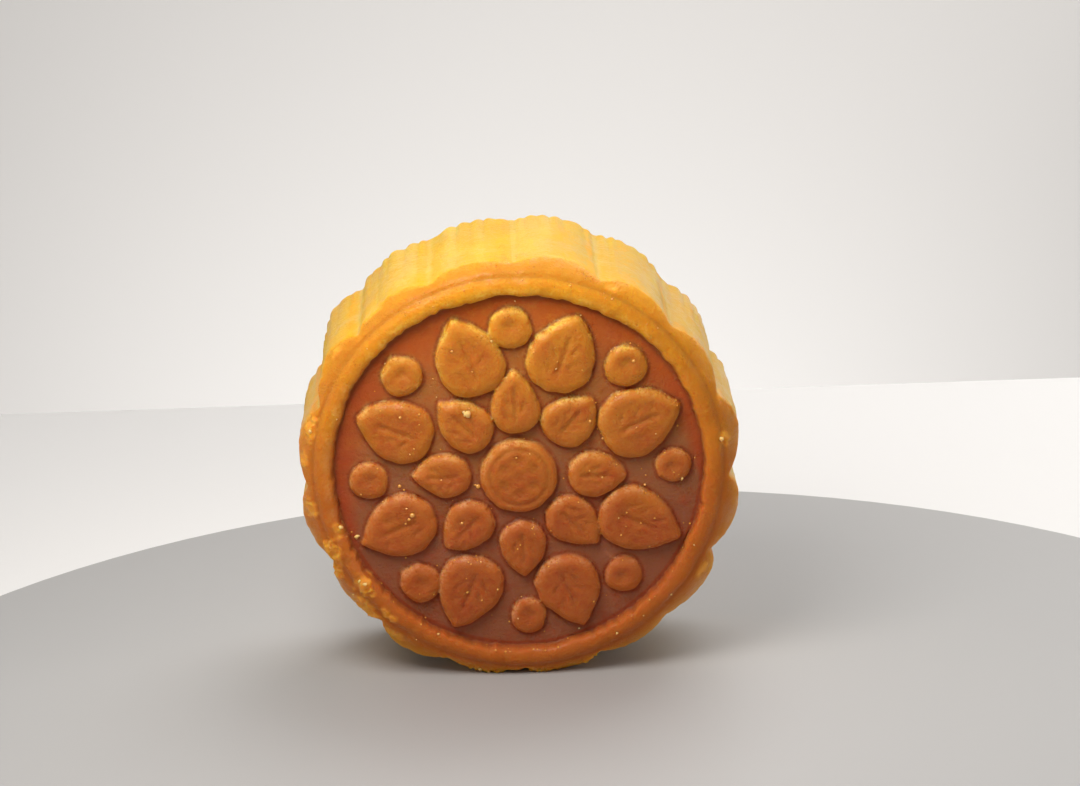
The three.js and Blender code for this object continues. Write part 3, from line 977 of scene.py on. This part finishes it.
bead_shape = bmesh.new()
for angle, out, size in PLACED_BEADS:
    add_bead(bead_shape, math.radians(angle), out, size, True)
for i in range(BEAD_TRIES):
    angle, out = crumb_rng.uniform(0, 2 * math.pi), FIELD_RADIUS * math.sqrt(crumb_rng.uniform(0.01, 1.25))
    add_bead(bead_shape, angle, out, crumb_rng.uniform(*BEAD_SIZE), i % KEPT_ANYWHERE == 0)
beads = finished_piece("syrup_beads", bead_shape)

# %% [markdown]
# ## Effects that more than one finish uses
#
# Baked dough shows two things up close: a grain of fine lumps and open pores, and a film of oil that
# gathers in some places and dries out in others. The skin and the crumbs both have them, so each is a
# node group with its own inputs. A group gives only values that change over the surface, and each
# material keeps its own shader.


# %% Helpers for nodes
def feed(tree, node, inputs):
    """Sets a node's inputs. Each is a number, a colour or another node's output."""
    for name, value in inputs.items():
        if isinstance(value, bpy.types.NodeSocket):
            tree.links.new(value, node.inputs[name])
        else:
            node.inputs[name].default_value = value


def add_node(tree, kind, inputs=None, **settings):
    node = tree.nodes.new(kind)
    for name, value in settings.items():
        setattr(node, name, value)
    feed(tree, node, inputs or {})
    return node


def math_node(tree, operation, first, second, clamp=False):
    node = add_node(tree, "ShaderNodeMath", {0: first, 1: second}, operation=operation, use_clamp=clamp)
    return node.outputs["Value"]


def times(tree, first, second, clamp=False):
    return math_node(tree, "MULTIPLY", first, second, clamp)


def plus(tree, first, second, clamp=False):
    return math_node(tree, "ADD", first, second, clamp)


def weighed(tree, first, first_share, second, second_share):
    """The sum of two values, each times its share."""
    return plus(tree, times(tree, first, first_share), times(tree, second, second_share))


def noise(tree, place, size, detail, roughness):
    """Cloudy noise whose features are about size millimetres wide."""
    inputs = {"Vector": place, "Scale": 1 / (size * METRE), "Detail": detail, "Roughness": roughness}
    return add_node(tree, "ShaderNodeTexNoise", inputs).outputs["Fac"]


def spread(tree, value, low, high, lowest=0.0, rise="SMOOTHSTEP"):
    """Stretches values between low and high to run from lowest to 1."""
    inputs = {"Value": value, "From Min": low, "From Max": high, "To Min": lowest}
    return add_node(tree, "ShaderNodeMapRange", inputs, interpolation_type=rise).outputs["Result"]


def object_place(tree):
    return add_node(tree, "ShaderNodeTexCoord").outputs["Object"]


def new_group(name, inputs, outputs):
    """A node group with its inputs' names and defaults, and its outputs' names."""
    group = bpy.data.node_groups.new(name, "ShaderNodeTree")
    for label, value in inputs.items():
        group.interface.new_socket(label, in_out="INPUT", socket_type="NodeSocketFloat").default_value = value
    for label in outputs:
        group.interface.new_socket(label, in_out="OUTPUT", socket_type="NodeSocketFloat")
    return group, add_node(group, "NodeGroupInput").outputs, add_node(group, "NodeGroupOutput")


# %% Grain and pores of baked dough
# Size in millimetres, detail and roughness of each noise
LUMPY_GRAIN = (0.9, 4.0, 0.6)
FINE_GRAIN = (0.34, 3.0, 0.6)
PORE_CLOUDS = (2.2, 2.0, 0.5)
PORE_SIZE = 0.55
PORE_DEPTH = 0.5


def make_grain():
    group, given, made = new_group("dough grain", {"Pore share": 0.3}, ["Height", "Pores"])
    place = object_place(group)
    cells = add_node(group, "ShaderNodeTexVoronoi", {"Vector": place, "Scale": 1 / (PORE_SIZE * METRE)})
    dots = math_node(group, "SUBTRACT", 1.0, spread(group, cells.outputs["Distance"], 0.12, 0.34))
    rare = spread(group, noise(group, place, *PORE_CLOUDS), 0.52, 0.68)
    pores = times(group, times(group, dots, rare), given["Pore share"], clamp=True)
    lumpy, fine = (noise(group, place, *layer) for layer in (LUMPY_GRAIN, FINE_GRAIN))
    lumps_height = weighed(group, lumpy, 0.6, fine, 0.4)
    height = math_node(group, "SUBTRACT", lumps_height, times(group, pores, PORE_DEPTH))
    feed(group, made, {"Height": height, "Pores": pores})
    return group


dough_grain = make_grain()
print("node group:", dough_grain.name)

# %% The film of oil
OIL_CLOUDS = (6.0, 2.0, 0.5)
OIL_SPOTS = (0.8, 3.0, 0.6)


def make_oil():
    inputs = {"Dry roughness": 0.6, "Oiled roughness": 0.35}
    group, given, made = new_group("oil film", inputs, ["Roughness", "Film"])
    place = object_place(group)
    clouds, spots = (noise(group, place, *layer) for layer in (OIL_CLOUDS, OIL_SPOTS))
    film = spread(group, weighed(group, clouds, 0.6, spots, 0.4), 0.38, 0.62)
    span = math_node(group, "SUBTRACT", given["Oiled roughness"], given["Dry roughness"])
    rough = plus(group, given["Dry roughness"], times(group, film, span))
    feed(group, made, {"Roughness": rough, "Film": film})
    return group


oil_film = make_oil()
print("node group:", oil_film.name)

# %% [markdown]
# ## Dough
#
# Syrup crust is waxy. Light goes a few millimetres into it, farther in red than in blue, and comes out
# warmer, which makes thin edges glow and softens every shadow. That is the subsurface part of the
# shader, and no paint on the surface can stand in for it. The crumbs are the same dough, so both finishes
# start from one function, which gives them grain, oil and depth. Their colours come after it.


# %% What every finish starts from
def new_material(name, inputs):
    """A material, its node tree and its shader."""
    material = bpy.data.materials.new(name)
    material.use_nodes = True
    tree = material.node_tree
    shader = tree.nodes["Principled BSDF"]
    feed(tree, shader, inputs)
    return material, tree, shader


def new_dough(name, pore_share, dry, oiled, grain_height, weight, radius, scale):
    """Dough without its colour: the roughness where it is dry and oiled, and the light under its skin."""
    light = {"Subsurface Weight": weight, "Subsurface Radius": radius, "Subsurface Scale": scale}
    material, tree, shader = new_material(name, light)
    grain = add_node(tree, "ShaderNodeGroup", {"Pore share": pore_share}, node_tree=dough_grain).outputs
    roughness = {"Dry roughness": dry, "Oiled roughness": oiled}
    oil = add_node(tree, "ShaderNodeGroup", roughness, node_tree=oil_film).outputs
    bump_inputs = {"Strength": 0.8, "Distance": grain_height * METRE, "Height": grain["Height"]}
    bump = add_node(tree, "ShaderNodeBump", bump_inputs)
    feed(tree, shader, {"Roughness": oil["Roughness"], "Normal": bump.outputs["Normal"]})
    return material, tree, shader, grain, oil


def ramp(tree, value, colours, interpolation):
    """Turns a value into colour, by a list of places and colours."""
    node = add_node(tree, "ShaderNodeValToRGB", {"Fac": value})
    node.color_ramp.interpolation = interpolation
    stops = node.color_ramp.elements
    while len(stops) < len(colours):
        stops.new(0.5)
    for stop, (position, colour) in zip(stops, colours):
        stop.position = position
        stop.color = (*colour, 1)
    return node.outputs["Color"]


# %% [markdown]
# ## The crust
#
# The colour comes from the tone of each point: cloudy noise shifts it a little, so that the bake is never
# even, and the ramp turns it into colour. The other numbers of the points lay thin coats over that: tray
# marks on the back, a grey veil on the open field that is a painted reflection, and pale rims that are
# painted highlights. Then light and shade are painted in by height: the face is tinted browner at the foot
# of the cake, a painted shade, and paler at its top, painted light, and the side less so. Last come the
# painted shade in the hollows, the yellow dough under torn skin, and dark pores.

# %% The crust's colours
# Tone and colour, from the field over the lotus and the ring to the side
TONES = [
    (0.0, (0.60, 0.107, 0.016)), (0.25, (0.70, 0.215, 0.020)), (0.5, (0.745, 0.234, 0.013)),
    (0.72, (0.84, 0.285, 0.010)), (0.86, (0.69, 0.285, 0.030)), (1.0, (0.71, 0.318, 0.074)),
]
# painted shade in the hollows
HOLLOW_SHADE_COLOUR = (0.25, 0.058, 0.014, 1)
# painted reflection: the grey veil on the open field
VEIL_COLOUR = (0.50, 0.202, 0.051, 1)
# painted highlight on the rims
RIM_HIGHLIGHT_COLOUR = (0.91, 0.45, 0.10, 1)
TORN_COLOUR = (0.94, 0.42, 0.05, 1)
UNDER_COLOUR = (0.50, 0.155, 0.030, 1)
PORE_COLOUR = (0.30, 0.09, 0.025, 1)
PAINTED_SHADE_BELOW = (0.68, 0.59, 1.05, 1)  # painted shade: what is left of red, green and blue at the foot of the cake
PAINTED_LIGHT_ABOVE = (0.955, 1.34, 0.86, 1)  # and painted light: the same at its top, paler and yellower
SHADING_HEIGHTS = (0.018, 0.078)  # in metres, where painted shade turns into painted light, with the clouds moving them by up to SHADING_DRIFT
SHADING_DRIFT = 0.02
SIDE_SHADED_AS = 0.76  # the side gets the painted shade and light as if it were this far up
MIX_FIRST, MIX_SECOND, MIX_RESULT = 6, 7, 2  # where a Mix node keeps its colours


def value_of(tree, name):
    """The number that every point carries under a name."""
    return add_node(tree, "ShaderNodeAttribute", attribute_name=name).outputs["Fac"]


def mix_colours(tree, share, first, second, blend_type="MIX"):
    """Mixes two colours. A Mix node has sockets for other kinds of value too, so they go by number."""
    inputs = {"Factor": share, MIX_FIRST: first, MIX_SECOND: second}
    node = add_node(tree, "ShaderNodeMix", inputs, data_type="RGBA", blend_type=blend_type)
    return node.outputs[MIX_RESULT]


def coated(tree, colour, coat, share, strength):
    """Lays a coat over a colour. It covers a share of it, times its strength."""
    return mix_colours(tree, times(tree, share, strength, clamp=True), colour, coat)


def shaded_by_height(tree, colour, share):
    """Paints shade and light into a colour by height: share runs from 0, the painted shade at the foot, to 1,
    the painted light at the top.
    """
    return mix_colours(tree, 1.0, colour, mix_colours(tree, share, PAINTED_SHADE_BELOW, PAINTED_LIGHT_ABOVE), "MULTIPLY")


# %% The crust's material
CRUST_DOUGH = {"pore_share": 0.6, "dry": 0.6, "oiled": 0.38, "grain_height": 0.5,
               "weight": 1.0, "radius": (1.0, 0.42, 0.13), "scale": 0.002}
# Size in millimetres, detail and roughness of each noise
CLOUDS = (5.0, 3.0, 0.6)
SPECKS = (0.8, 4.0, 0.7)
TRAY_CLOUDS = (7.0, 5.0, 0.65)
VEIL_CLOUDS = (2.6, 5.0, 0.7)
HIGHLIGHT_GRAIN = (0.5, 3.0, 0.6)
CLOUD_SHIFT, SPECK_SHIFT = 0.22, 0.3  # how far they shift the tone
LEAST_TRAY_MARK = 0.55
VEIL_STRENGTH = 0.9
HOLLOW_SHADE_STRENGTH = 0.7
TORN_STRENGTH = 0.6
OIL_SHINE = 0.16


def make_crust():
    material, tree, shader, grain, oil = new_dough("crust", **CRUST_DOUGH)
    place = object_place(tree)
    tone_here, under_here = value_of(tree, "tone"), value_of(tree, "under")

    clouds = math_node(tree, "SUBTRACT", noise(tree, place, *CLOUDS), 0.5)
    specks = math_node(tree, "SUBTRACT", noise(tree, place, *SPECKS), 0.5)
    shift = weighed(tree, clouds, CLOUD_SHIFT, specks, SPECK_SHIFT)
    colour = ramp(tree, plus(tree, tone_here, shift, clamp=True), TONES, "EASE")

    tray_marks = spread(tree, noise(tree, place, *TRAY_CLOUDS), 0.3, 0.7, LEAST_TRAY_MARK, "LINEAR")
    colour = coated(tree, colour, UNDER_COLOUR, under_here, tray_marks)
    # Painted reflection: a grey veil on the open field
    veil = times(tree, spread(tree, noise(tree, place, *VEIL_CLOUDS), 0.12, 0.54), VEIL_STRENGTH)
    colour = coated(tree, colour, VEIL_COLOUR, value_of(tree, "dry"), veil)
    # Painted highlights on the rims that face the light
    grainy = spread(tree, noise(tree, place, *HIGHLIGHT_GRAIN), 0.3, 0.6)
    colour = coated(tree, colour, RIM_HIGHLIGHT_COLOUR, value_of(tree, "rim_highlight"), grainy)

    # Painted shade at the foot of the cake and painted light at its top, by height
    height = add_node(tree, "ShaderNodeSeparateXYZ", {"Vector": place}).outputs["Z"]
    high_up = spread(tree, plus(tree, height, times(tree, clouds, SHADING_DRIFT)), *SHADING_HEIGHTS)
    on_side = times(tree, spread(tree, tone_here, 0.46, 0.9), SIDE_SHADED_AS)
    colour = shaded_by_height(tree, colour, math_node(tree, "MAXIMUM", high_up, on_side))

    # Painted shade in the hollows
    colour = coated(tree, colour, HOLLOW_SHADE_COLOUR, value_of(tree, "crevice_shade"), HOLLOW_SHADE_STRENGTH)
    colour = coated(tree, colour, TORN_COLOUR, value_of(tree, "torn"), TORN_STRENGTH)
    pore_strength = plus(tree, 0.5, times(tree, under_here, 0.5))
    colour = coated(tree, colour, PORE_COLOUR, grain["Pores"], pore_strength)
    feed(tree, shader, {
        "Base Color": colour, "Specular IOR Level": 0.16,
        "Coat Weight": times(tree, oil["Film"], OIL_SHINE), "Coat Roughness": 0.16, "Coat IOR": 1.45,
    })
    return material


cake.data.materials.append(make_crust())
print("crust:", len(cake.active_material.node_tree.nodes), "nodes")

# %% [markdown]
# ## Dry crumbs
#
# The crumbs are the same dough without the syrup's brown, dry and pale. Their film of oil is thinner,
# and light goes less deep into them. Their own grain gives them two shades.

# %% The crumbs' material
CRUMB_DOUGH = {"pore_share": 0.9, "dry": 0.7, "oiled": 0.4, "grain_height": 0.1,
               "weight": 0.6, "radius": (1.0, 0.6, 0.3), "scale": 0.0006}
CRUMB_SHADES = [(0.0, (0.72, 0.32, 0.06)), (1.0, (0.92, 0.60, 0.22))]


def make_crumb_finish():
    material, tree, shader, grain, _ = new_dough("dry_crumb", **CRUMB_DOUGH)
    shade = ramp(tree, spread(tree, grain["Height"], 0.25, 0.6), CRUMB_SHADES, "LINEAR")
    feed(tree, shader, {"Base Color": shade})
    return material


crumbs.data.materials.append(make_crumb_finish())
print("finish of the crumbs:", crumbs.active_material.name)

# %% [markdown]
# ## Syrup
#
# A bead of syrup is clear and amber, and takes its colour mostly from the skin below it. Beads this small
# need no real refraction, which would cost much render time: a smooth shiny ball in the skin's own orange
# gives the same glint.

# %% The beads' material
SYRUP = {"Base Color": (0.78, 0.34, 0.05, 1), "Roughness": 0.08, "Coat Weight": 1.0, "Coat Roughness": 0.06}

beads.data.materials.append(new_material("syrup", SYRUP)[0])
print("finish of the beads:", beads.active_material.name)

# %% [markdown]
# ## Table, wall and light
#
# The cake stands on a grey mat on a pale table, and a plain wall is some way behind it. One lamp does
# most of the work. It hangs above the cake and in front of it, and so close that the upper part of the
# face gets nearly twice the light of the lower: that fall-off, more than any colour, makes the face look
# deep. Two warm windows at the sides, one behind and a pale ceiling light keep the cake's other sides
# bright. The wall has a lamp of its own, which the cake doesn't see, and the room adds a little light
# from everywhere. The colours are shown as they are, without a film curve.

# %% Table and wall
TABLE_HALF_WIDTH = 0.8
TABLE_FRONT, TABLE_BACK = -0.9, 0.19
TABLE_THICKNESS = 0.02
TABLE_COLOUR = (0.84, 0.83, 0.82, 1)
MAT_RADIUS = 0.125
MAT_AT = (0.01, -0.03)
MAT_THICKNESS = 0.001
MAT_STEPS = 96
MAT_COLOUR = (0.42, 0.415, 0.41, 1)
WALL_AT = 0.62
WALL_HALF_WIDTH = 1.1
WALL_BOTTOM, WALL_TOP = -0.45, 1.0
WALL_COLOUR = (0.72, 0.705, 0.69, 1)


def make_stage(name, corners, faces, colour):
    """A plain painted piece of the room."""
    shape = bpy.data.meshes.new(name)
    shape.from_pydata(corners, [], faces)
    shape.materials.append(new_material(name + "_paint", {"Base Color": colour, "Roughness": 0.55})[0])
    piece = add_piece(name, shape)


mat_round = [(MAT_AT[0] + MAT_RADIUS * math.cos(turn), MAT_AT[1] + MAT_RADIUS * math.sin(turn))
             for turn in np.linspace(0, 2 * math.pi, MAT_STEPS, endpoint=False)]
mat_corners = [(x, y, z) for z in (0.0, -MAT_THICKNESS) for x, y in mat_round]
mat_rim = [(i, (i + 1) % MAT_STEPS) for i in range(MAT_STEPS)]
mat_faces = [tuple(range(MAT_STEPS))] + [(i, i + MAT_STEPS, j + MAT_STEPS, j) for i, j in mat_rim]
make_stage("mat", mat_corners, mat_faces, MAT_COLOUR)
table_corners = list(itertools.product((-TABLE_HALF_WIDTH, TABLE_HALF_WIDTH), (TABLE_FRONT, TABLE_BACK),
                                       (-TABLE_THICKNESS, -MAT_THICKNESS)))
table_faces = [(1, 5, 7, 3), (0, 2, 6, 4), (0, 4, 5, 1), (2, 3, 7, 6), (0, 1, 3, 2), (4, 6, 7, 5)]
make_stage("table", table_corners, table_faces, TABLE_COLOUR)
wall_corners = [(x, WALL_AT, z) for z in (WALL_BOTTOM, WALL_TOP) for x in (-WALL_HALF_WIDTH, WALL_HALF_WIDTH)]
make_stage("wall", wall_corners, [(0, 1, 3, 2)], WALL_COLOUR)
print("stage:", ["mat", "table", "wall"])

# %% Lights
# Name, place, where it points, size, power and colour
LIGHTS = [
    ("lamp_above", (-0.045, -0.09, 0.15), (0, 0, 0.05), 0.08, 0.235, (1.0, 0.97, 0.93)),
    ("ceiling", (0.13, 0.22, 0.45), (0.02, 0.08, 0.0), 0.35, 1.6, (1.0, 0.98, 0.96)),
    ("window_behind", (0.40, 0.46, 0.28), (0, 0, 0.03), 0.4, 0.8, (1.0, 0.98, 0.96)),
    ("window_right", (0.6, -0.13, 0.13), (0, 0, 0.03), 0.4, 0.75, (1.0, 0.94, 0.87)),
    ("window_left", (-0.58, -0.13, 0.1), (0, 0, 0.03), 0.4, 0.7, (1.0, 0.94, 0.87)),
    ("lamp_behind_table", (0, 0.23, -0.28), (0, 0.62, -0.02), 0.5, 2.6, (1.0, 0.985, 0.97)),
]
ROOM_LIGHT = {"Color": (1.0, 0.985, 0.965, 1), "Strength": 0.18}

for name, place, target, size, power, colour in LIGHTS:
    lamp = bpy.data.lights.new(name, "AREA")
    lamp.size, lamp.energy, lamp.color = size, power, colour
    light = add_piece(name, lamp)
    light.location = place
    light.rotation_euler = (Vector(target) - Vector(place)).to_track_quat("-Z", "Y").to_euler()
world = bpy.data.worlds.new("pale_room")
world.use_nodes = True
feed(world.node_tree, world.node_tree.nodes["Background"], ROOM_LIGHT)
bpy.context.scene.world = world
bpy.context.scene.view_settings.view_transform = "Standard"
print("lights:", len(LIGHTS))

# %% [markdown]
# ## The camera
#
# The picture is taken with a fairly long lens from 29 cm, a little above the cake, and slightly tilted.
# The camera is put on a line from the face's centre, turned to look at it, rolled, and then swung until
# that centre lies at its own place in the picture. Swinging keeps the lens unshifted.

# %% Camera
PICTURE = (1080, 786)
FACE_IN_PICTURE = (519.4, 478.8)  # where the face's centre lies, in pixels from the top left
FOCAL_PIXELS = 1900
SENSOR_WIDTH = 36
DISTANCE = 0.2909
AZIMUTH = math.radians(-0.31)
ELEVATION = math.radians(15.4)
ROLL = math.radians(1.91)

lens = bpy.data.cameras.new("camera")
lens.sensor_width = SENSOR_WIDTH
lens.lens = FOCAL_PIXELS * SENSOR_WIDTH / PICTURE[0]
lens.clip_start = 0.01
back = Vector((math.sin(AZIMUTH) * math.cos(ELEVATION), -math.cos(AZIMUTH) * math.cos(ELEVATION),
               math.sin(ELEVATION)))
facing = back.to_track_quat("Z", "Y").to_matrix() @ Matrix.Rotation(-ROLL, 3, "Z")
right, down = ((at - size / 2) / FOCAL_PIXELS for at, size in zip(FACE_IN_PICTURE, PICTURE))
swing = Vector((0, 0, -1)).rotation_difference(Vector((right, -down, -1))).to_matrix()
camera = add_piece("camera", lens)
camera.matrix_world = Matrix.Translation(face_centre + back * DISTANCE) @ (facing @ swing.inverted()).to_4x4()
bpy.context.scene.camera = camera
print("lens:", round(lens.lens, 1), "mm")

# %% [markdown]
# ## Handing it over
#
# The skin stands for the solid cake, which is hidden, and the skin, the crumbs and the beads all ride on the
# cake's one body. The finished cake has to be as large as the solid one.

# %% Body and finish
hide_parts("mooncake")
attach(cake, "root")
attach(crumbs, "root")
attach(beads, "root")
